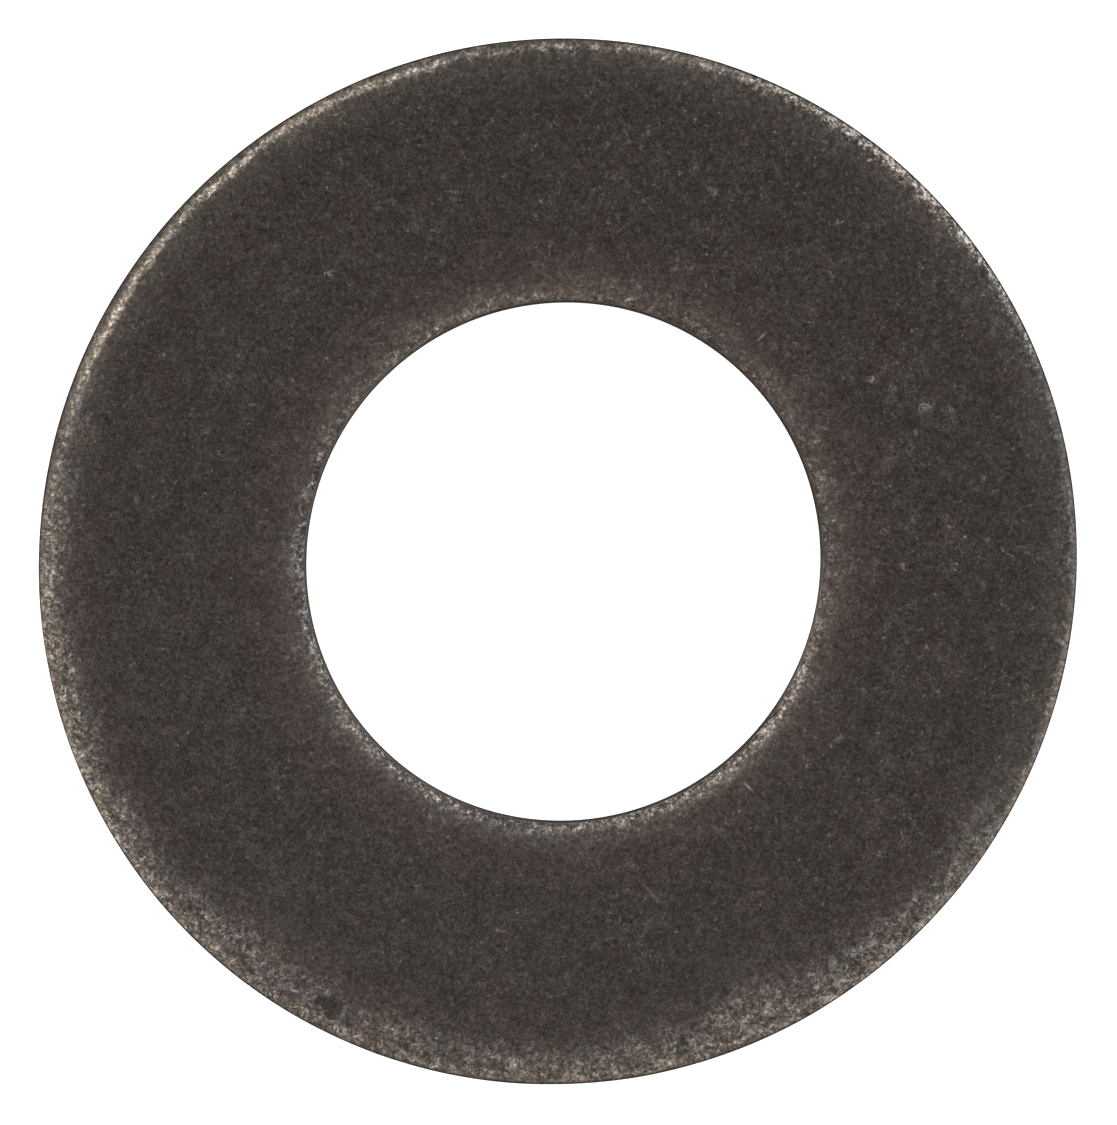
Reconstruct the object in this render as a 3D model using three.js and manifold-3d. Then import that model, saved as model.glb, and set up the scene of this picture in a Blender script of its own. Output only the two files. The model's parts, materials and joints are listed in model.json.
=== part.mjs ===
// A plain flat washer for a 1/2 in bolt, in millimetres.
//
// The washer is punched from steel strip in two strokes, and the model is made the same way:
// a blank with the shape that the blanking die leaves, minus a slug with the shape of the hole.
// Both strokes enter from the same side, so both upper edges are drawn down and rounded, and
// both lower edges are the side that the tools leave by. The outside is cut smooth and upright
// for part of its depth and tears below that. The hole is cut upright all the way.
//
// The bearing face lies on Z = 0, centred on the outside diameter, and +Z points to the face with
// the rounded edges.

import * as THREE from 'three';
import { mergeVertices } from 'three/addons/utils/BufferGeometryUtils.js';
import Module from 'manifold-3d';

// Driving dimensions
const OUTSIDE_DIAMETER = 26.97;
const HOLE_DIAMETER = 13.49;
const THICKNESS = 2.41;
const HOLE_OFFSET = 0.15; // how far the second stroke landed from the centre, along +X

// Cut edges, as the punch and die leave them
const LAND_SHARE = 0.45; // of the thickness: how far down the smooth, upright part of the outside reaches
const TEAR_LEAN = 0.08; // how far the torn part below it leans in
const EDGE_BREAK = 0.12; // corner taken off the lower edges by tumbling
const OUTER_ROLL = { width: 0.8, depth: 0.3 };
const HOLE_ROLL = { width: 0.45, depth: 0.2 };

// Fineness of the round surfaces
const TURN_SEGMENTS = 96;
const ROLL_STEPS = 7;

const SLUG_OVERRUN = 1; // how far the slug stands past both faces, so that it cuts right through

const manifold = await Module();
manifold.setup();

// The rounded upper edge of a cut, from the upright wall up to the face. It is a quarter of an
// ellipse. `side` is -1 where the face lies towards the axis, and 1 where it lies away from it.
function rolledEdge(wallRadius, roll, side) {
  const points = [];
  for (let step = 0; step <= ROLL_STEPS; step += 1) {
    const angle = (step / ROLL_STEPS) * (Math.PI / 2);
    const radius = wallRadius + side * roll.width * (1 - Math.cos(angle));
    const height = THICKNESS - roll.depth * (1 - Math.sin(angle));
    points.push(new THREE.Vector2(radius, height));
  }
  return points;
}

// Half sections, which start and end on the axis and run upwards
function blankProfile() {
  const wall = OUTSIDE_DIAMETER / 2;
  const foot = wall - TEAR_LEAN;
  const landEnd = THICKNESS * (1 - LAND_SHARE);
  return [
    new THREE.Vector2(0, 0),
    new THREE.Vector2(foot - EDGE_BREAK, 0),
    new THREE.Vector2(foot, EDGE_BREAK),
    new THREE.Vector2(wall, landEnd),
    ...rolledEdge(wall, OUTER_ROLL, -1),
    new THREE.Vector2(0, THICKNESS),
  ];
}

function slugProfile() {
  const wall = HOLE_DIAMETER / 2;
  const top = THICKNESS + SLUG_OVERRUN;
  return [
    new THREE.Vector2(0, -SLUG_OVERRUN),
    new THREE.Vector2(wall + EDGE_BREAK, -SLUG_OVERRUN),
    new THREE.Vector2(wall + EDGE_BREAK, 0),
    new THREE.Vector2(wall, EDGE_BREAK),
    ...rolledEdge(wall, HOLE_ROLL, 1),
    new THREE.Vector2(wall + HOLE_ROLL.width, top),
    new THREE.Vector2(0, top),
  ];
}

// A profile turned about the Z axis
function turned(profile) {
  const geometry = new THREE.LatheGeometry(profile, TURN_SEGMENTS);
  geometry.rotateX(Math.PI / 2);
  return geometry;
}

function toSolid(geometry) {
  geometry.deleteAttribute('normal');
  geometry.deleteAttribute('uv');
  const merged = mergeVertices(geometry);
  return new manifold.Manifold(new manifold.Mesh({
    numProp: 3,
    vertProperties: merged.attributes.position.array,
    triVerts: merged.index.array,
  }));
}

function toGeometry(solid) {
  const mesh = solid.getMesh();
  const geometry = new THREE.BufferGeometry();
  geometry.setAttribute('position', new THREE.BufferAttribute(mesh.vertProperties, mesh.numProp));
  geometry.setIndex(new THREE.BufferAttribute(mesh.triVerts, 1));
  geometry.computeVertexNormals();
  return geometry;
}

// Steel with a dark, slightly brown oxide finish
function darkSteel() {
  return new THREE.MeshStandardMaterial({ color: 0x403a37, roughness: 0.55, metalness: 0.85 });
}

function washer() {
  const slug = turned(slugProfile());
  slug.translate(HOLE_OFFSET, 0, 0);
  const ring = toSolid(turned(blankProfile())).subtract(toSolid(slug));
  const mesh = new THREE.Mesh(toGeometry(ring), darkSteel());
  mesh.name = 'washer';
  return mesh;
}

const part = new THREE.Group();
part.add(washer());

export default part;
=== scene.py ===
"""Looks for a flat washer: one punched steel ring with a dark oxide finish and edges rubbed through to the
metal, with painted highlights and painted shade along them.

Lengths in this file are millimetres until they go onto a Blender object, which is in metres.
Directions round the ring are degrees, counter-clockwise from +X as seen from above.
"""

import json
import math
from collections import namedtuple

import bpy
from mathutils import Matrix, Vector, noise


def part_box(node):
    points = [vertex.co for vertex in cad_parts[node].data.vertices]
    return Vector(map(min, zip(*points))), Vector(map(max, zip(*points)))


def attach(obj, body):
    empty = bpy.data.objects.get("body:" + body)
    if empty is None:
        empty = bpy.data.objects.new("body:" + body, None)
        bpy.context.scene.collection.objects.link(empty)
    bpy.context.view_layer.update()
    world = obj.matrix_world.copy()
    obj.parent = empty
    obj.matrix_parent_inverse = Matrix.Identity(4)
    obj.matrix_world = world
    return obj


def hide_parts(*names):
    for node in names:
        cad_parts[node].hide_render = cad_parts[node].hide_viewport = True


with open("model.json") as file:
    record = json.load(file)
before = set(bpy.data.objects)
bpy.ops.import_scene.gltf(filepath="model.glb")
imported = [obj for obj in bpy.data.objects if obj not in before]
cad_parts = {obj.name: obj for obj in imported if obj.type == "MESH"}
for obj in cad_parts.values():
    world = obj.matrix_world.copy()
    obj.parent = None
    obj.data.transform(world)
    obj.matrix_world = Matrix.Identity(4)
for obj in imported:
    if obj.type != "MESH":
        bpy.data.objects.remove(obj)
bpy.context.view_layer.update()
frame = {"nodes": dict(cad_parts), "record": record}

MM = 0.001

# A stretch of the ring's turn on which something is greater than elsewhere, by amount
Arc = namedtuple("Arc", "amount centre half_width softness")

# Unevenness along the turn, with about per_turn waves in it
Wave = namedtuple("Wave", "amount per_turn seed")

# A point of the ring's section. across is 0 at the hole's wall and 1 at the outer wall, and offset
# is a distance on from there, away from the axis.
Point = namedtuple("Point", "zone across offset height")

# A layer of noise on the surface, with about per_mm waves in a millimetre
Layer = namedtuple("Layer", "per_mm detail roughness distortion seed")

# A mark on the face, with the length, width and direction of its spot
Mark = namedtuple("Mark", "x y length width direction strength")


# ---------------------------------------------------------------- sizes

# What the frame gives
washer_low, washer_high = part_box("washer")
opening_low, opening_high = frame["record"]["physics"]["openings"][0]["box_m"]
THICKNESS = (washer_high[2] - washer_low[2]) / MM
OUTER_RADIUS = (washer_high[0] - washer_low[0]) / 2 / MM
HOLE_X = (opening_low[0] + opening_high[0]) / 2 / MM
HOLE_RADIUS = min(
    math.hypot(v.co.x / MM - HOLE_X, v.co.y / MM) for v in frame["nodes"]["washer"].data.vertices
)
RING_WIDTH = OUTER_RADIUS - HOLE_RADIUS

# Fineness of the ring's mesh: steps round it, and steps along each stretch of its section
TURN_STEPS = 1008
HOLE_WALL_STEPS = 10
HOLE_ROLL_STEPS = 12
FACE_STEPS = 24
OUTER_ROLL_STEPS = 18
LAND_STEPS = 8
TEAR_STEPS = 11
BREAK_STEPS = 3
BACK_STEPS = 9
SHARP_ANGLE = 35  # degrees between two faces, from which their edge is shaded as a sharp one

# How the tools left the ring
OUT_OF_ROUND = 0.0073  # share of the radius that the ring gains along its long direction
LONG_DIRECTION = 61
EDGE_BREAK = 0.12  # corner taken off the lower edges
LAND_SHARE = 0.45  # of the thickness: how far down the smooth part of the outer wall reaches
LAND_WAVES = (Wave(0.14, 22, 5.5), Wave(0.07, 110, 6.5))
TEAR_LEAN = 0.08  # how far the torn part below it leans in
TEAR_DEPTH = 0.01
TEAR_PITS = ((0.05, 2.6), (0.025, 6.3))  # the depth of a kind of pit, and its waves in a millimetre
TEAR_PIT_SQUASH = 0.3  # under 1, so that the pits are longer up the wall than along it

# The rounded outer edge: its width grows from the right side round to the lower left
OUTER_ROLL_WIDTH = 0.34
OUTER_ROLL_ARCS = (
    Arc(0.06, 47, 20, 12),
    Arc(0.26, 95, 26, 10),
    Arc(0.48, 145, 33, 14),
    Arc(0.76, 250, 71, 14),
)
OUTER_ROLL_WAVES = (Wave(0.12, 40, 1.5), Wave(0.06, 160, 2.5))
OUTER_ROLL_DEPTH = 0.10
OUTER_ROLL_DEPTH_GAIN = 0.22  # more depth for each mm of width

# The rounded hole edge
HOLE_ROLL_WIDTH = 0.42
HOLE_ROLL_ARCS = (Arc(0.10, 318, 34, 14),)
HOLE_ROLL_WAVES = (Wave(0.12, 30, 3.5), Wave(0.06, 120, 4.5))
HOLE_ROLL_DEPTH = 0.19


def smooth(share):
    """A share held between 0 and 1, with an easy start and end."""
    share = min(max(share, 0), 1)
    return share * share * (3 - 2 * share)


def lobe(direction, arc):
    """1 on an arc of the turn, falling smoothly to 0 at both of its ends."""
    away = abs((direction - arc.centre + 180) % 360 - 180)
    return smooth((arc.half_width + arc.softness - away) / (2 * arc.softness))


def around(direction, base, arcs):
    """A value that is base round the ring, and greater on each arc."""
    return base + sum(arc.amount * lobe(direction, arc) for arc in arcs)


def fall(value, start, end):
    """1 up to start and 0 past end, smooth between."""
    return smooth((end - value) / (end - start))


def bell(value, centre, reach):
    """1 at centre, falling smoothly to 0 at a reach on either side."""
    return fall(abs(value - centre), 0, reach)


def uneven(direction, waves):
    """Smooth noise round the ring, about 0. Each wave gives about its amount either way."""
    turn = math.radians(direction)
    total = 0
    for wave in waves:
        reach = wave.per_turn / (2 * math.pi)
        where = Vector((reach * math.cos(turn), reach * math.sin(turn), wave.seed))
        total += wave.amount * 2 * noise.noise(where)
    return total


# ---------------------------------------------------------------- shape


def outer_roll(direction):
    """Width and depth of the rounded outer edge."""
    width = around(direction, OUTER_ROLL_WIDTH, OUTER_ROLL_ARCS) * (1 + uneven(direction, OUTER_ROLL_WAVES))
    return width, OUTER_ROLL_DEPTH + OUTER_ROLL_DEPTH_GAIN * width


def hole_roll(direction):
    """Width and depth of the rounded hole edge."""
    width = around(direction, HOLE_ROLL_WIDTH, HOLE_ROLL_ARCS) * (1 + uneven(direction, HOLE_ROLL_WAVES))
    return width, HOLE_ROLL_DEPTH


def stretch(start, end, steps):
    """Shares from start to end, without the end itself."""
    return [start + (end - start) * step / steps for step in range(steps)]


def between(start, end, share):
    """The value at a share of the way from start to end."""
    return start + (end - start) * share


def rolled(width, depth, share):
    """Distance from the wall and height on a rounded edge, from the wall at 0 to the face at 1."""
    turn = share * math.pi / 2
    return width * (1 - math.cos(turn)), THICKNESS - depth * (1 - math.sin(turn))


def section(direction):
    """The ring's closed section at a direction, up the hole, out over the face and back below."""
    outer_width, outer_depth = outer_roll(direction)
    hole_width, hole_depth = hole_roll(direction)
    hole_top = THICKNESS - hole_depth
    outer_top = THICKNESS - outer_depth
    land_end = THICKNESS * (1 - LAND_SHARE) + uneven(direction, LAND_WAVES)
    points = []
    for share in stretch(0, 1, HOLE_WALL_STEPS):
        points.append(Point("hole_wall", 0, 0, between(EDGE_BREAK, hole_top, share)))
    for share in stretch(0, 1, HOLE_ROLL_STEPS):
        offset, height = rolled(hole_width, hole_depth, share)
        points.append(Point("hole_roll", 0, offset, height))
    for step in stretch(0, 1, FACE_STEPS):
        share = smooth(step)
        points.append(Point("face", share, between(hole_width, -outer_width, share), THICKNESS))
    for share in stretch(1, 0, OUTER_ROLL_STEPS):
        offset, height = rolled(outer_width, outer_depth, share)
        points.append(Point("outer_roll", 1, -offset, height))
    for share in stretch(0, 1, LAND_STEPS):
        points.append(Point("land", 1, 0, between(outer_top, land_end, share)))
    for share in stretch(0, 1, TEAR_STEPS):
        points.append(Point("tear", 1, -TEAR_LEAN * share, between(land_end, EDGE_BREAK, share)))
    for share in stretch(0, 1, BREAK_STEPS):
        points.append(Point("outer_break", 1, -TEAR_LEAN - EDGE_BREAK * share, EDGE_BREAK * (1 - share)))
    for share in stretch(1, 0, BACK_STEPS):
        points.append(Point("back", share, between(EDGE_BREAK, -TEAR_LEAN - EDGE_BREAK, share), 0))
    for share in stretch(0, 1, BREAK_STEPS):
        points.append(Point("hole_break", 0, EDGE_BREAK * (1 - share), EDGE_BREAK * share))
    return points


def tear_pits(turn, height):
    """How deep the torn wall's rough surface lies inside its even shape."""
    around_ring = (OUTER_RADIUS * math.cos(turn), OUTER_RADIUS * math.sin(turn))
    where = Vector((*around_ring, TEAR_PIT_SQUASH * height))
    return TEAR_DEPTH + sum(depth * abs(noise.noise(where * per_mm)) for depth, per_mm in TEAR_PITS)


def place(direction, point):
    """A section point in the row frame, on the ring as it really is: a little out of round."""
    turn = math.radians(direction)
    oval = 1 + OUT_OF_ROUND * math.cos(2 * (turn - math.radians(LONG_DIRECTION)))
    reach = between(HOLE_RADIUS * oval, OUTER_RADIUS * oval, point.across) + point.offset
    if point.zone == "tear":
        reach -= tear_pits(turn, point.height)
    x = HOLE_X * (1 - point.across) + reach * math.cos(turn)
    y = reach * math.sin(turn)
    return x, y, point.height


# ---------------------------------------------------------------- wear

# Wear is the share of metal that shows through the oxide; on the edges part of it is painted highlight, and
# at the outlines some is taken away as painted shade. A fade gives the distance in mm up to which something
# is full, and the distance at which it is gone.

# The bright line along the outer edge, partly worn metal and partly painted highlight where the two lamps
# catch it, and how unevenly it is broken up
RIM_LINE_WEAR_AND_HIGHLIGHT = 0.07
# Painted highlight: the line is brightest on the arcs that face the two lamps
RIM_LINE_ARCS = (Arc(0.095, 46, 16, 7), Arc(0.15, 137, 34, 8), Arc(-0.025, 12, 15, 8))
RIM_LINE_PLACE = 0.085
RIM_LINE_PLACE_ARCS = (Arc(0.14, 127, 53, 22), Arc(0.03, 140, 13, 10), Arc(0.05, 160, 13, 10))
RIM_LINE_PLACE_WAVES = (Wave(0.18, 45, 7.5), Wave(0.12, 150, 8.5))
RIM_LINE_REACH = 0.15
RIM_LINE_REACH_ARCS = (Arc(0.06, 46, 18, 7), Arc(0.07, 165, 15, 10))
RIM_LINE_SPARKLE = 0.5
RIM_LINE_SPARKLE_ARCS = (Arc(0.65, 46, 20, 10), Arc(-0.25, 160, 16, 10), Arc(-0.2, 0, 30, 10))
RIM_LINE_SPARKLE_FADE = (0.3, 0.5)

# The strip between that line and the outline, which is calmer
RIM_STRIP_WEAR = 0.075
RIM_STRIP_ARCS = (
    Arc(0.08, 202, 26, 10),
    Arc(0.01, 255, 20, 10),
    Arc(0.02, 335, 25, 15),
    Arc(-0.01, 10, 15, 10),
    Arc(-0.04, 130, 45, 10),
)
RIM_STRIP_WIDER = 0.08  # how much wider the strip is on the wide side
RIM_STRIP_FADE = 0.2
RIM_CALM = 0.4
RIM_CALM_ARCS = (Arc(-0.4, 46, 20, 10),)
RIM_CALM_FADE = (0.12, 0.25)

# The outline itself, made dark and dull: painted shade along it, and less wear there
RIM_DARK_START = 0.02
RIM_DARK_END = 0.075
RIM_DARK_ARCS = (Arc(0.08, 262, 30, 12), Arc(-0.035, 194, 14, 8), Arc(-0.025, 345, 35, 12))
RIM_SHADE = 0.6
RIM_SHADE_ARCS = (Arc(-0.4, 194, 14, 8), Arc(-0.25, 345, 35, 12))
RIM_SHADE_FADE = (0.02, 0.07)

# The lower side, where the wear is wide and creased and has a darker groove beside the strip
WIDE_SIDE = Arc(1, 248, 78, 16)
WIDE_FADE = (1.3, 2.3)
WIDE_CALM = 0.2
WIDE_SPREAD_ARCS = (Arc(-0.35, 190, 20, 12), Arc(-0.25, 316, 18, 12))
WIDE_SPREAD_WAVES = (Wave(0.25, 30, 9.5), Wave(0.15, 90, 10.5))
WIDE_WEAR = 0.12
WIDE_WEAR_FADE = (0.5, 1.3)
WIDE_TAIL = 0.026
WIDE_TAIL_FADE = (0.8, 2.3)
GROOVE_SIDE = Arc(0.5, 238, 26, 12)
GROOVE_PLACE = 0.35
GROOVE_WAVES = (Wave(0.1, 35, 12.5),)
GROOVE_REACH = 0.15

# Thin wear over the whole width of the outer edge
HALO_WEAR = 0.038
HALO_FADE = (0.2, 1.4)

# The hole's edge: even wear with a thin tail, which is less on the first bit, and a bright band, partly wear
# and partly painted highlight on the arcs where light catches the edge
HOLE_WEAR = 0.042
HOLE_WEAR_FADE = (0.3, 0.85)
HOLE_TAIL = 0.012
HOLE_TAIL_FADE = (0.7, 1.9)
HOLE_DARK = 0.35
HOLE_DARK_FADE = (0.02, 0.1)
HOLE_BAND_WEAR_AND_HIGHLIGHT = 0.025
# Painted highlight: the band is brightest on the arcs where the hole's edge faces the light
HOLE_BAND_ARCS = (
    Arc(0.08, 210, 34, 8),
    Arc(0.04, 282, 8, 6),
    Arc(0.085, 302, 36, 8),
    Arc(0.055, 117, 24, 10),
    Arc(0.06, 343, 13, 8),
)
HOLE_BAND_PLACE = 0.10
HOLE_BAND_PLACE_ARCS = (
    Arc(-0.06, 281, 9, 6),
    Arc(0.03, 312, 14, 8),
    Arc(0.03, 226, 12, 8),
    Arc(-0.08, 348, 18, 8),
    Arc(-0.04, 195, 15, 8),
)
HOLE_BAND_PLACE_WAVES = (Wave(0.3, 60, 11.5),)
HOLE_BAND_REACH = 0.28
HOLE_BAND_REACH_ARCS = (Arc(0.15, 313, 14, 8), Arc(0.05, 226, 14, 8), Arc(-0.06, 350, 15, 8))
HOLE_SPARKLE = 0.35
HOLE_SPARKLE_ARCS = (Arc(0.5, 247, 92, 12),)
HOLE_SPARKLE_FADE = (0.12, 0.38)
HOLE_DULL_FADE = (0.0, 0.02)

# The walls: the hole's wall is torn low down and gets painted shade there, and the outer wall is dull and
# gets painted shade near its top
HOLE_WALL_WEAR = 0.01
HOLE_WALL_ARCS = (Arc(0.06, 190, 65, 20), Arc(0.10, 345, 15, 8))
HOLE_WALL_LOW_FADE = (0.5, 1.3)  # heights above the bearing face
HOLE_WALL_SHADE = 0.6
LAND_TOP_FADE = (0.2, 0.4)  # depths below the face
LAND_TOP_SHADE = 0.5
BREAK_WEAR = 0.2

# Colours of the bare metal and the oxide
TAN_SHARE = 0.35
TAN_ARCS = (Arc(0.65, 205, 88, 20), Arc(-0.3, 46, 20, 10))
TAN_FADE = (0.2, 0.6)
HOLE_TAN = 0.5
HOLE_COLOUR_FADE = (0.3, 0.8)
HOLE_COOL_SIDE = Arc(1, 220, 60, 25)
RIM_COOL = 0.5
RIM_COOL_FADE = (0.2, 0.4)
HOLE_BROWN_PLACE = 0.8
HOLE_BROWN_FADE = (0.4, 1.3)
WIDE_BROWN = 0.7
WIDE_BROWN_PLACE = 1.1
WIDE_BROWN_FADE = (0.4, 1.2)

# What the material reads from every vertex, and its value where nothing more is said
PLAIN_LOOKS = {
    "worn": 0.03,  # share of metal showing, painted highlights on the edges included
    "tan": 0.3,  # 1 where the metal is tan
    "mauve": 0.5,  # 1 where the metal is mauve, 0 where it is a cool grey
    "brown": 0.0,  # greater where the oxide has more brown spots
    "sparkle": 1.0,  # how unevenly the wear is broken up
    "creased": 0.0,  # 1 where the wear has islands and creases
    "dull": 0.0,  # 1 where the surface doesn't shine at all
    "shade": 0.0,  # painted shade: how much darker the surface is made
    "cut": 0.0,  # 1 where the tools left drag lines
    "torn": 0.0,  # 1 where the metal tore, with a coarse grain
}


def rim_wear_and_highlight(direction, inward):
    """Wear of the outer rounded edge, at a distance inward from the outline, with a painted highlight along
    its bright line and less wear at the outline as painted shade.
    """
    wide = around(direction, 0, (WIDE_SIDE,))
    line_place = around(direction, RIM_LINE_PLACE, RIM_LINE_PLACE_ARCS)
    line_place *= 1 + uneven(direction, RIM_LINE_PLACE_WAVES)
    line_reach = around(direction, RIM_LINE_REACH, RIM_LINE_REACH_ARCS)
    line = around(direction, RIM_LINE_WEAR_AND_HIGHLIGHT, RIM_LINE_ARCS) * bell(inward, line_place, line_reach) * (1 - wide)
    strip_end = line_place + RIM_STRIP_WIDER * wide
    strip = around(direction, RIM_STRIP_WEAR, RIM_STRIP_ARCS)
    strip *= fall(inward, strip_end, strip_end + RIM_STRIP_FADE)
    spread = around(direction, 1, WIDE_SPREAD_ARCS) * (1 + uneven(direction, WIDE_SPREAD_WAVES))
    plateau = wide * WIDE_WEAR * fall(inward / spread, *WIDE_WEAR_FADE)
    tail = wide * WIDE_TAIL * fall(inward / spread, *WIDE_TAIL_FADE)
    halo = HALO_WEAR * fall(inward, *HALO_FADE)
    groove_place = GROOVE_PLACE + uneven(direction, GROOVE_WAVES)
    groove = around(direction, 0, (GROOVE_SIDE,)) * bell(inward, groove_place, GROOVE_REACH)
    # less wear at the very outline, as part of its painted shade
    dark = fall(inward, RIM_DARK_START, around(direction, RIM_DARK_END, RIM_DARK_ARCS))
    return ((line + strip + plateau) * (1 - dark) + tail + halo) * (1 - groove)


def rim_sparkle(direction, inward, wide):
    """How unevenly the outer edge's wear shows: calm beside the outline, broken along the bright line."""
    line = around(direction, RIM_LINE_SPARKLE, RIM_LINE_SPARKLE_ARCS) * fall(inward, *RIM_LINE_SPARKLE_FADE)
    calm = around(direction, RIM_CALM, RIM_CALM_ARCS) * fall(inward, *RIM_CALM_FADE)
    return line * (1 - wide) - calm - WIDE_CALM * wide


def hole_wear_and_highlight(direction, outward):
    """Wear round the hole, at a distance outward from its wall, with a bright band that is partly painted
    highlight.
    """
    even = HOLE_WEAR * fall(outward, *HOLE_WEAR_FADE) + HOLE_TAIL * fall(outward, *HOLE_TAIL_FADE)
    even *= 1 - HOLE_DARK * fall(outward, *HOLE_DARK_FADE)
    band_place = around(direction, HOLE_BAND_PLACE, HOLE_BAND_PLACE_ARCS)
    band_place *= 1 + uneven(direction, HOLE_BAND_PLACE_WAVES)
    band_reach = around(direction, HOLE_BAND_REACH, HOLE_BAND_REACH_ARCS)
    return even + around(direction, HOLE_BAND_WEAR_AND_HIGHLIGHT, HOLE_BAND_ARCS) * bell(outward, band_place, band_reach)


def top_colours(direction, from_rim, from_hole, wide):
    """Colours of the metal and the oxide on the face and the two rounded edges."""
    near_hole = fall(from_hole, *HOLE_COLOUR_FADE)
    cool = around(direction, 0, (HOLE_COOL_SIDE,))
    rim_tan = around(direction, TAN_SHARE, TAN_ARCS) * fall(from_rim, *TAN_FADE)
    rim_cool = RIM_COOL * (1 - wide) * fall(from_rim, *RIM_COOL_FADE)
    hole_brown = fall(abs(from_hole - HOLE_BROWN_PLACE), *HOLE_BROWN_FADE)
    wide_brown = WIDE_BROWN * wide * fall(abs(from_rim - WIDE_BROWN_PLACE), *WIDE_BROWN_FADE)
    return {
        "tan": rim_tan + HOLE_TAN * near_hole * (1 - cool),
        "mauve": 1 - cool * near_hole - rim_cool,
        "brown": hole_brown + wide_brown,
    }


def top_looks(direction, from_rim, from_hole):
    """Looks of the face and the two rounded edges, at a distance from each wall."""
    wide = around(direction, 0, (WIDE_SIDE,)) * fall(from_rim, *WIDE_FADE)
    outline = fall(from_rim, *RIM_SHADE_FADE)
    hole_sparkle = around(direction, HOLE_SPARKLE, HOLE_SPARKLE_ARCS) * fall(from_hole, *HOLE_SPARKLE_FADE)
    return {
        "worn": rim_wear_and_highlight(direction, from_rim) + hole_wear_and_highlight(direction, from_hole),
        **top_colours(direction, from_rim, from_hole, wide),
        "sparkle": 1 + hole_sparkle + rim_sparkle(direction, from_rim, wide),
        "creased": wide,
        "dull": max(outline, fall(from_hole, *HOLE_DULL_FADE)),
        # painted shade along the outline
        "shade": around(direction, RIM_SHADE, RIM_SHADE_ARCS) * outline,
    }


def hole_wall_looks(direction, height):
    """Looks of the hole's wall, which is cut above and torn below, with painted shade low down."""
    low = fall(height, *HOLE_WALL_LOW_FADE)
    wear = around(direction, HOLE_WALL_WEAR, HOLE_WALL_ARCS)
    return {"worn": wear, "dull": 1, "shade": HOLE_WALL_SHADE * low, "cut": 1 - low, "torn": low}


def land_looks(depth):
    """Looks of the smooth part of the outer wall, at a depth below the face, with painted shade near its top.
    """
    near_top = fall(depth, *LAND_TOP_FADE)
    return {"dull": near_top, "shade": LAND_TOP_SHADE * near_top, "cut": 1}


def looks(direction, point):
    """What the material needs to know at a section point, by attribute name."""
    values = dict(PLAIN_LOOKS)
    if point.zone in ("hole_roll", "face", "outer_roll"):
        from_rim = RING_WIDTH * (1 - point.across) - point.offset
        from_hole = RING_WIDTH * point.across + point.offset
        values.update(top_looks(direction, from_rim, from_hole))
    elif point.zone == "hole_wall":
        values.update(hole_wall_looks(direction, point.height))
    elif point.zone == "land":
        values.update(land_looks(THICKNESS - point.height))
    elif point.zone == "tear":
        values.update(torn=1)
    elif point.zone in ("outer_break", "hole_break"):
        values.update(worn=BREAK_WEAR)
    return values


def ring_faces(count):
    """Faces between each section of the ring and the next, for sections of count points."""
    faces = []
    for step in range(TURN_STEPS):
        here = step * count
        ahead = (step + 1) % TURN_STEPS * count
        for point in range(count):
            following = (point + 1) % count
            faces.append((here + point, here + following, ahead + following, ahead + point))
    return faces


def washer_mesh():
    """The ring as one closed mesh, with the material's attributes on its vertices."""
    vertices = []
    attributes = {name: [] for name in PLAIN_LOOKS}
    for step in range(TURN_STEPS):
        direction = 360 * step / TURN_STEPS
        for point in section(direction):
            x, y, z = place(direction, point)
            vertices.append((x * MM, y * MM, z * MM))
            for name, value in looks(direction, point).items():
                attributes[name].append(value)
    mesh = bpy.data.meshes.new("washer_ring")
    mesh.from_pydata(vertices, [], ring_faces(len(vertices) // TURN_STEPS))
    for name, values in attributes.items():
        mesh.attributes.new(name, "FLOAT", "POINT").data.foreach_set("value", values)
    mesh.polygons.foreach_set("use_smooth", [True] * len(mesh.polygons))
    mesh.set_sharp_from_angle(angle=math.radians(SHARP_ANGLE))
    mesh.validate()
    mesh.update()
    return mesh


# ---------------------------------------------------------------- materials

# The colour sockets of a Mix node
MIX_SHARE = 0
MIX_FROM = 6
MIX_TO = 7
MIX_RESULT = 2

CHANNEL_PACE = (0.92, 1.0, 1.04)  # how fast red, green and blue follow a change of tone
SPOT_DEPTH = 1.0  # how far below the face a mark's spot reaches


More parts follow.
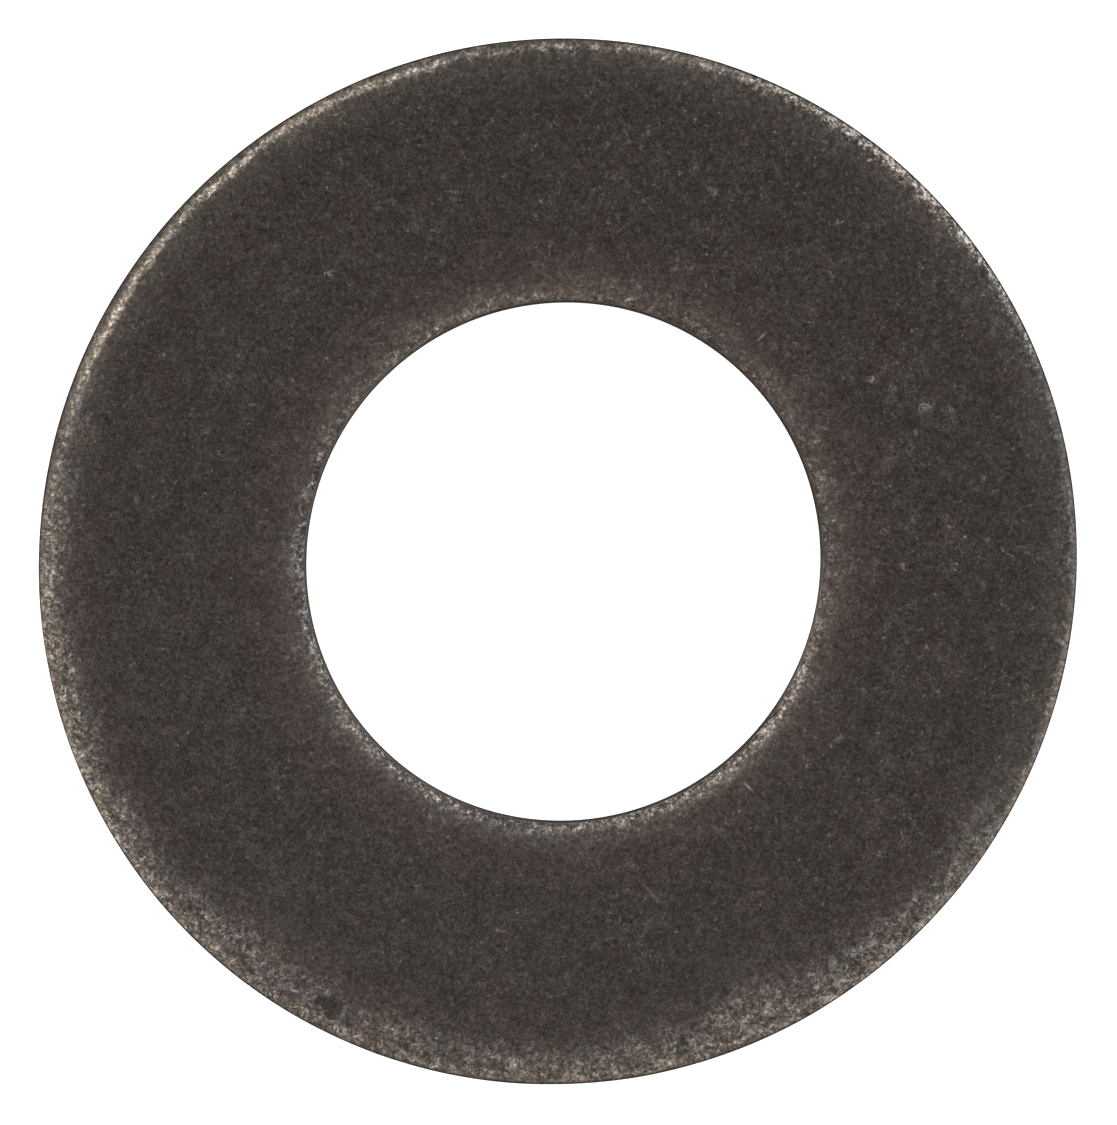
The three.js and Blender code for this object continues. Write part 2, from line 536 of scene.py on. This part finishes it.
class Nodes:
    """Adds nodes to one material. Apart from add and feed, each call returns an output socket."""

    def __init__(self, material):
        self.tree = material.node_tree

    def add(self, kind, **settings):
        node = self.tree.nodes.new(kind)
        for name, value in settings.items():
            setattr(node, name, value)
        return node

    def feed(self, socket, value):
        if isinstance(value, bpy.types.NodeSocket):
            self.tree.links.new(value, socket)
        else:
            socket.default_value = value

    def math(self, operation, *values):
        node = self.add("ShaderNodeMath", operation=operation)
        for socket, value in zip(node.inputs, values):
            self.feed(socket, value)
        return node.outputs[0]

    def plus(self, a, b):
        return self.math("ADD", a, b)

    def minus(self, a, b):
        return self.math("SUBTRACT", a, b)

    def times(self, a, b):
        return self.math("MULTIPLY", a, b)

    def power_of_two(self, exponent):
        return self.math("POWER", 2.0, exponent)

    def weighted(self, *terms):
        """The sum of some values, each times its weight."""
        value, weight = terms[0]
        total = self.times(value, weight)
        for value, weight in terms[1:]:
            total = self.plus(total, self.times(value, weight))
        return total

    def rise(self, value, low, high):
        """0 below low and 1 above high, smooth between. low may be above high, for a fall."""
        node = self.add("ShaderNodeMapRange", interpolation_type="SMOOTHSTEP", clamp=True)
        for socket, number in zip(node.inputs, (value, low, high, 0.0, 1.0)):
            self.feed(socket, number)
        return node.outputs[0]

    def thin_line(self, value, at, half_width):
        """1 where a value is at a level, falling to 0 at half a width on either side."""
        return self.rise(self.math("ABSOLUTE", self.minus(value, at)), half_width, 0.0)

    def attribute(self, name):
        return self.add("ShaderNodeAttribute", attribute_name=name).outputs["Fac"]

    def vector(self, operation, a, b):
        node = self.add("ShaderNodeVectorMath", operation=operation)
        self.feed(node.inputs[0], a)
        if operation == "SCALE":
            self.feed(node.inputs["Scale"], b)
        else:
            self.feed(node.inputs[1], b)
        return node.outputs["Value" if operation == "DOT_PRODUCT" else "Vector"]

    def noise(self, where, layer):
        """Noise about 0, mostly within 0.2 of it."""
        node = self.add("ShaderNodeTexNoise", noise_dimensions="4D", normalize=True)
        self.feed(node.inputs["Vector"], where)
        node.inputs["W"].default_value = layer.seed
        node.inputs["Scale"].default_value = layer.per_mm
        node.inputs["Detail"].default_value = layer.detail
        node.inputs["Roughness"].default_value = layer.roughness
        node.inputs["Distortion"].default_value = layer.distortion
        return self.minus(node.outputs[0], 0.5)

    def mix(self, share, a, b):
        node = self.add("ShaderNodeMix", data_type="RGBA")
        self.feed(node.inputs[MIX_SHARE], share)
        self.feed(node.inputs[MIX_FROM], a)
        self.feed(node.inputs[MIX_TO], b)
        return node.outputs[MIX_RESULT]

    def scaled(self, colour, amount):
        """A colour made brighter or darker."""
        return self.vector("SCALE", colour, amount)

    def graded(self, colour, tone):
        """A colour made 2 ** tone times as bright, and a little greyer the brighter it gets."""
        parts = self.add("ShaderNodeSeparateColor")
        self.feed(parts.inputs[0], colour)
        joined = self.add("ShaderNodeCombineColor")
        for channel, pace in enumerate(CHANNEL_PACE):
            gain = self.power_of_two(self.times(tone, pace))
            self.feed(joined.inputs[channel], self.times(parts.outputs[channel], gain))
        return joined.outputs[0]

    def spot(self, where, mark):
        """A mark's strength at the middle of its spot on the face, and 0 at its edge."""
        node = self.add("ShaderNodeMapping", vector_type="TEXTURE")
        self.feed(node.inputs["Vector"], where)
        node.inputs["Location"].default_value = (mark.x, mark.y, THICKNESS)
        node.inputs["Rotation"].default_value = (0, 0, math.radians(mark.direction))
        node.inputs["Scale"].default_value = (mark.length / 2, mark.width / 2, SPOT_DEPTH)
        reach = self.add("ShaderNodeVectorMath", operation="LENGTH")
        self.feed(reach.inputs[0], node.outputs[0])
        return self.times(self.rise(reach.outputs["Value"], 1.0, 0.0), mark.strength)

    def spots(self, where, marks):
        """The sum of some marks."""
        total = 0.0
        for mark in marks:
            total = self.plus(self.spot(where, mark), total)
        return total


def rgb(red, green, blue):
    """A colour socket value from sRGB numbers, 0 to 255."""
    linear = [((c / 255 + 0.055) / 1.055) ** 2.4 for c in (red, green, blue)]
    return (*linear, 1.0)


# Dark oxide: two greys, browner where the brown value rises, and the tone that grain gives it
OXIDE_GREY = rgb(57.4, 52.9, 49.8)
OXIDE_WARM_GREY = rgb(57.8, 53.0, 48.9)
OXIDE_BROWN = rgb(62.6, 52.9, 50.4)
HAZE = Layer(0.4, 3, 0.6, 0.0, 3.1)
BROWN_SPOTS = Layer(2.1, 3, 0.7, 0.4, 3.9)
WARM_RISE = (-0.12, 0.06)
BROWN_FROM_HAZE = 0.7
BROWN_FROM_SPOTS = 1.3
BROWN_FROM_PLACE = 0.24
BROWN_RISE = (0.10, 0.22)
GRAIN = Layer(11.0, 2, 1.0, 0.6, 1.7)
MOTTLE = Layer(1.6, 4, 0.75, 0.0, 7.3)
GRAIN_TONE = 6.0
MOTTLE_TONE = 1.6
# Painted light: the oxide is lighter towards -Y and a little towards -X, as if more light fell there
PAINTED_LIGHT_SIDE = (-0.0034, -0.0126, 0.0)  # tone gained for each mm along X, Y and Z

# Marks of the tools on the walls
DRAG_LINES = Layer(8.0, 3, 0.7, 0.0, 21.3)
DRAG_SQUASH = (1.0, 1.0, 0.06)  # small along Z, so that the lines run up and down
TORN_LUMPS = Layer(3.5, 4, 0.7, 0.0, 22.9)
TORN_SQUASH = (1.0, 1.0, 0.5)
TORN_STRENGTH = 1.3
WALL_TONE = 3.0

# Pale flecks on the face
CURLS = Layer(2.8, 2, 0.6, 1.5, 11.3)
CURL_LEVEL = 0.12
CURL_HALF_WIDTH = 0.032
CURL_WEAR = 0.08
GROUPS = Layer(0.6, 3, 0.7, 0.0, 12.1)
GROUPS_SIDE = (0.005, 0.002, 0.0)  # more of them for each mm along X and Y
GROUPS_RISE = (-0.05, 0.12)
DOTS = Layer(5.0, 2, 0.7, 0.0, 13.7)
DOTS_RISE = (0.10, 0.26)
DOTS_WEAR = 0.11
CLOUDS = Layer(1.7, 3, 0.7, 0.0, 23.3)
CLOUDS_RISE = (0.05, 0.26)
CLOUDS_WEAR = 0.045

# Marks on the face, one by one
SCRATCHES = (
    Mark(2.43, -8.57, 1.00, 0.16, -46, 0.09),
    Mark(2.37, -9.29, 0.65, 0.16, 44, 0.07),
    Mark(4.93, -5.83, 0.46, 0.11, -43, 0.32),
    Mark(5.27, 5.81, 0.50, 0.10, 45, 0.28),
    Mark(-6.40, -11.45, 0.30, 0.09, -50, 0.35),
)
BLOTCHES = (
    Mark(8.13, 4.70, 0.45, 0.40, 0, 0.25),
    Mark(8.62, 4.50, 0.45, 0.35, -20, 0.22),
    Mark(8.55, 4.20, 0.40, 0.35, 60, 0.14),
    Mark(7.62, 4.71, 0.30, 0.20, -60, 0.25),
    Mark(7.05, 3.84, 0.30, 0.25, 30, 0.15),
    Mark(9.46, 4.05, 0.70, 0.50, 20, 0.26),
    Mark(8.94, 5.56, 0.22, 0.40, 0, 0.12),
    Mark(10.15, 3.90, 0.45, 0.30, -30, 0.20),
    Mark(10.05, 3.45, 0.35, 0.30, 0, 0.20),
    Mark(9.30, 3.30, 0.40, 0.45, 0, 0.12),
    Mark(9.16, 1.06, 0.35, 0.35, 0, 0.28),
    Mark(10.15, 0.95, 0.85, 0.35, -60, 0.20),
    Mark(10.05, 0.50, 0.65, 0.35, 30, 0.16),
    Mark(8.75, 1.50, 0.45, 0.35, 60, 0.12),
    Mark(8.60, 2.60, 1.20, 0.35, 40, 0.10),
    Mark(9.10, 2.90, 0.90, 0.35, 70, 0.10),
    Mark(3.55, 10.25, 0.80, 0.35, 70, 0.14),
    Mark(3.95, 9.60, 0.60, 0.30, -30, 0.14),
    Mark(-4.60, 9.20, 0.60, 0.35, 20, 0.09),
    Mark(-10.9, 1.60, 0.60, 0.30, 60, 0.09),
    Mark(7.30, -4.55, 0.60, 0.30, 45, 0.12),
    Mark(5.55, 5.60, 0.45, 0.40, 0, 0.12),
)
BLOTCH_GRAIN = Layer(8.0, 3, 0.8, 1.0, 16.9)
BLOTCH_RISE = (-0.05, 0.12)
BLOTCH_STRENGTH = 1.3

# The dark scuff on the worn edge
SCUFF = (
    Mark(-5.76, -11.45, 0.95, 0.75, 0, 0.8),
    Mark(-6.10, -11.36, 1.00, 0.60, -10, 0.55),
    Mark(-5.83, -11.72, 0.60, 0.60, 0, 0.6),
)
SCUFF_COLOUR = rgb(55.0, 51.5, 48.0)
SCUFF_EDGE = Layer(4.5, 3, 0.7, 0.0, 19.4)
SCUFF_RAGGED = 4.0
SCUFF_RISE = (0.15, 0.55)
SCUFF_COVERS = 0.95  # share of the wear below it that the scuff hides

# Bare metal and the painted highlights in it: how its share is broken up, as powers of two for each unit of
# noise, and its colours
SPECKS = Layer(9.5, 3, 0.8, 0.6, 5.5)
SPECKS_SPREAD = 11.0
PATCHES = Layer(2.4, 3, 0.7, 0.5, 9.5)
PATCHES_SPREAD = 4.0
ISLANDS = Layer(4.2, 2, 0.6, 1.2, 17.6)
ISLANDS_SPREAD = 7.5
FOLDS = Layer(2.8, 3, 0.65, 1.5, 4.4)
CREASE_HALF_WIDTH = 0.045
CREASE_SPREAD = -3.5
LEAST_WEAR = 0.003
STEEL_COOL = rgb(195, 191, 186)
STEEL_MAUVE = rgb(201, 189.5, 182)
STEEL_TAN = rgb(205, 190, 172)
METAL_TINT = Layer(1.0, 2, 0.5, 0.0, 14.2)
METAL_TINT_SHARE = 2.5

# Gloss and relief
LOW_VIEW_GLOSS = (0.45, 0.45, 0.45, 1)  # under 1, so that the face stays dark when seen at a low angle
ROUGHNESS = 0.5
GRAIN_ROUGHNESS = 0.4
BARE_ROUGHNESS = -0.1
TORN_ROUGHNESS = 0.15
BUMP_STRENGTH = 0.5
BUMP_HEIGHT = 0.03
CREASE_DEPTH = 0.1


def oxide_colour(nodes, where):
    """Dark grey with clusters of small brown spots, which run together round the hole."""
    haze = nodes.noise(where, HAZE)
    brown = nodes.weighted(
        (haze, BROWN_FROM_HAZE),
        (nodes.noise(where, BROWN_SPOTS), BROWN_FROM_SPOTS),
        (nodes.attribute("brown"), BROWN_FROM_PLACE),
    )
    grey = nodes.mix(nodes.rise(haze, *WARM_RISE), OXIDE_GREY, OXIDE_WARM_GREY)
    return nodes.mix(nodes.rise(brown, *BROWN_RISE), grey, OXIDE_BROWN)


def oxide_tone(nodes, where, grain, on_walls):
    """How much brighter or darker the oxide is from place to place, with painted light making it lighter
    towards one side.
    """
    tone = nodes.weighted(
        (grain, GRAIN_TONE),
        (nodes.noise(where, MOTTLE), MOTTLE_TONE),
        (on_walls, WALL_TONE),
    )
    return nodes.plus(tone, nodes.vector("DOT_PRODUCT", where, PAINTED_LIGHT_SIDE))


def upright_marks(nodes, where):
    """Drag lines that the tools left down the cut parts of the walls, and the torn parts' coarse grain."""
    lines = nodes.noise(nodes.vector("MULTIPLY", where, DRAG_SQUASH), DRAG_LINES)
    lumps = nodes.noise(nodes.vector("MULTIPLY", where, TORN_SQUASH), TORN_LUMPS)
    on_cut = nodes.times(lines, nodes.attribute("cut"))
    on_torn = nodes.times(lumps, nodes.attribute("torn"))
    return nodes.plus(on_cut, nodes.times(on_torn, TORN_STRENGTH))


def flecks(nodes, where):
    """Fine pale curls and clouds in loose groups, most on the right, and fine dots everywhere."""
    groups = nodes.plus(nodes.noise(where, GROUPS), nodes.vector("DOT_PRODUCT", where, GROUPS_SIDE))
    grouped = nodes.rise(groups, *GROUPS_RISE)
    curls = nodes.thin_line(nodes.noise(where, CURLS), CURL_LEVEL, CURL_HALF_WIDTH)
    dots = nodes.rise(nodes.noise(where, DOTS), *DOTS_RISE)
    clouds = nodes.rise(nodes.noise(where, CLOUDS), *CLOUDS_RISE)
    return nodes.weighted(
        (nodes.times(curls, grouped), CURL_WEAR),
        (dots, DOTS_WEAR),
        (nodes.times(clouds, grouped), CLOUDS_WEAR),
    )


def face_marks(nodes, where):
    """Scratches as clean strokes, and pale blotches broken up by the grain."""
    broken = nodes.times(nodes.rise(nodes.noise(where, BLOTCH_GRAIN), *BLOTCH_RISE), BLOTCH_STRENGTH)
    blotches = nodes.times(nodes.spots(where, BLOTCHES), broken)
    return nodes.plus(nodes.spots(where, SCRATCHES), blotches)


def scuffed(nodes, where):
    """1 on the scuff, with a ragged edge."""
    ragged = nodes.plus(nodes.times(nodes.noise(where, SCUFF_EDGE), SCUFF_RAGGED), 1.0)
    return nodes.rise(nodes.times(nodes.spots(where, SCUFF), ragged), *SCUFF_RISE)


def bare_metal_and_highlights(nodes, where, scuff, crease):
    """How much metal shows through the oxide, painted highlights of the edges included, broken up into
    patches, creases and specks.
    """
    specks = nodes.weighted(
        (nodes.noise(where, SPECKS), SPECKS_SPREAD),
        (nodes.noise(where, PATCHES), PATCHES_SPREAD),
    )
    folded = nodes.weighted(
        (nodes.noise(where, ISLANDS), ISLANDS_SPREAD),
        (crease, CREASE_SPREAD),
    )
    spread = nodes.weighted(
        (specks, nodes.attribute("sparkle")),
        (folded, nodes.attribute("creased")),
    )
    level = nodes.plus(nodes.plus(nodes.attribute("worn"), LEAST_WEAR), flecks(nodes, where))
    level = nodes.times(level, nodes.minus(1.0, nodes.times(scuff, SCUFF_COVERS)))
    worn = nodes.times(level, nodes.power_of_two(spread))
    return nodes.math("MINIMUM", nodes.plus(worn, face_marks(nodes, where)), 1.0)


def metal_colour(nodes, where):
    """Bare steel with a little oxide left in it: tan near the outline, mauve or cool further in."""
    tint = nodes.times(nodes.noise(where, METAL_TINT), METAL_TINT_SHARE)
    further_in = nodes.mix(nodes.plus(nodes.attribute("mauve"), tint), STEEL_COOL, STEEL_MAUVE)
    return nodes.mix(nodes.plus(nodes.attribute("tan"), tint), further_in, STEEL_TAN)


def roughness(nodes, grain, bare_and_highlit):
    """Rougher on the torn parts and by the grain, and a little smoother where metal shows, painted highlights
    included.
    """
    varied = nodes.weighted(
        (bare_and_highlit, BARE_ROUGHNESS),
        (grain, GRAIN_ROUGHNESS),
        (nodes.attribute("torn"), TORN_ROUGHNESS),
    )
    return nodes.plus(varied, ROUGHNESS)


def relief(nodes, grain, on_walls, crease):
    """The fine bumps of the grain, the walls and the creases."""
    bump = nodes.add("ShaderNodeBump")
    bump.inputs["Strength"].default_value = BUMP_STRENGTH
    bump.inputs["Distance"].default_value = BUMP_HEIGHT * MM
    height = nodes.minus(nodes.plus(grain, on_walls), nodes.times(crease, CREASE_DEPTH))
    nodes.feed(bump.inputs["Height"], height)
    return bump.outputs["Normal"]


def new_material(name):
    """A material, and its shader node."""
    material = bpy.data.materials.new(name)
    material.use_nodes = True
    shader = next(node for node in material.node_tree.nodes if node.type == "BSDF_PRINCIPLED")
    return material, shader


def dark_steel():
    """Dark oxide on steel, rubbed to bright metal on the rounded edges, with painted highlights along them
    and painted shade at the outlines and low in the hole.
    """
    material, shader = new_material("dark_steel")
    nodes = Nodes(material)
    where = nodes.vector("SCALE", nodes.add("ShaderNodeTexCoord").outputs["Object"], 1 / MM)
    grain = nodes.noise(where, GRAIN)
    on_walls = upright_marks(nodes, where)
    crease = nodes.thin_line(nodes.noise(where, FOLDS), 0.0, CREASE_HALF_WIDTH)
    scuff = scuffed(nodes, where)
    bare_and_highlit = bare_metal_and_highlights(nodes, where, scuff, crease)

    dark = nodes.mix(scuff, oxide_colour(nodes, where), SCUFF_COLOUR)
    dark = nodes.graded(dark, oxide_tone(nodes, where, grain, on_walls))
    colour = nodes.mix(bare_and_highlit, dark, metal_colour(nodes, where))
    # Painted shade: darker along the outlines, near the top of the outer wall and low on the hole's wall
    colour = nodes.scaled(colour, nodes.minus(1.0, nodes.attribute("shade")))

    nodes.feed(shader.inputs["Base Color"], colour)
    nodes.feed(shader.inputs["Metallic"], nodes.minus(1.0, nodes.attribute("dull")))
    nodes.feed(shader.inputs["Roughness"], roughness(nodes, grain, bare_and_highlit))
    nodes.feed(shader.inputs["Normal"], relief(nodes, grain, on_walls, crease))
    shader.inputs["Specular IOR Level"].default_value = 0.0
    shader.inputs["Specular Tint"].default_value = LOW_VIEW_GLOSS
    return material


# ---------------------------------------------------------------- stage

WHITE = (1, 1, 1, 1)

# The light table, which shows the washer on pure white
TABLE_REACH = 600
TABLE_DEPTH = 0.02  # how far below the washer the table lies
TABLE_COLOUR = (0.9, 0.9, 0.9, 1)
TABLE_ROUGHNESS = 0.9
TABLE_GLOW = 0.7

# The pictured camera
CAMERA_DISTANCE = 185  # from the upper face
CAMERA_X = 0.023
CAMERA_Y = -0.025
CAMERA_NEAREST = 10
FRAME_MARGIN = 0.0778  # share of its diameter that the washer leaves free in the picture's height
SENSOR = 36


def add_object(name, data):
    """A new object in the scene."""
    added = bpy.data.objects.new(name, data)
    bpy.context.collection.objects.link(added)
    return added


def camera():
    """Straight above the washer, with the top of the picture towards +Y."""
    frame_height = (1 + FRAME_MARGIN) * 2 * OUTER_RADIUS
    data = bpy.data.cameras.new("camera")
    data.sensor_width = SENSOR
    data.lens = SENSOR * CAMERA_DISTANCE / frame_height
    data.clip_start = CAMERA_NEAREST * MM
    added = add_object("camera", data)
    added.location = (CAMERA_X * MM, CAMERA_Y * MM, (CAMERA_DISTANCE + THICKNESS) * MM)
    bpy.context.scene.camera = added


def surroundings():
    """An even white room."""
    world = bpy.data.worlds.new("white_room")
    world.use_nodes = True
    background = world.node_tree.nodes["Background"]
    background.inputs["Color"].default_value = WHITE
    background.inputs["Strength"].default_value = 1.0
    bpy.context.scene.world = world


def light_table():
    """A pale floor that glows, so that the ring casts no shadow on it."""
    reach = TABLE_REACH * MM
    corners = ((-reach, -reach), (reach, -reach), (reach, reach), (-reach, reach))
    mesh = bpy.data.meshes.new("light_table")
    mesh.from_pydata([(x, y, -TABLE_DEPTH * MM) for x, y in corners], [], [(0, 1, 2, 3)])
    material, shader = new_material("light_table")
    shader.inputs["Base Color"].default_value = TABLE_COLOUR
    shader.inputs["Roughness"].default_value = TABLE_ROUGHNESS
    shader.inputs["Emission Color"].default_value = WHITE
    shader.inputs["Emission Strength"].default_value = TABLE_GLOW
    mesh.materials.append(material)
    add_object("light_table", mesh)


def lamp(name, direction, from_vertical, distance, size, brightness):
    """A square soft lamp that faces the washer. Its brightness doesn't depend on its size."""
    data = bpy.data.lights.new(name, "AREA")
    data.shape = "SQUARE"
    data.size = size * MM
    data.energy = brightness * math.pi * (size * MM) ** 2
    turn = math.radians(direction)
    lean = math.radians(from_vertical)
    towards = Vector((math.sin(lean) * math.cos(turn), math.sin(lean) * math.sin(turn), math.cos(lean)))
    added = add_object(name, data)
    added.location = towards * distance * MM
    added.rotation_euler = towards.to_track_quat("Z", "Y").to_euler()


camera()
surroundings()
light_table()
lamp("upper_left_lamp", direction=140, from_vertical=42, distance=450, size=160, brightness=4)
lamp("upper_right_lamp", direction=46, from_vertical=42, distance=450, size=120, brightness=5)
bpy.context.scene.view_settings.view_transform = "Standard"

washer = add_object("washer_ring", washer_mesh())
washer.data.materials.append(dark_steel())
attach(washer, "root")
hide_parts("washer")
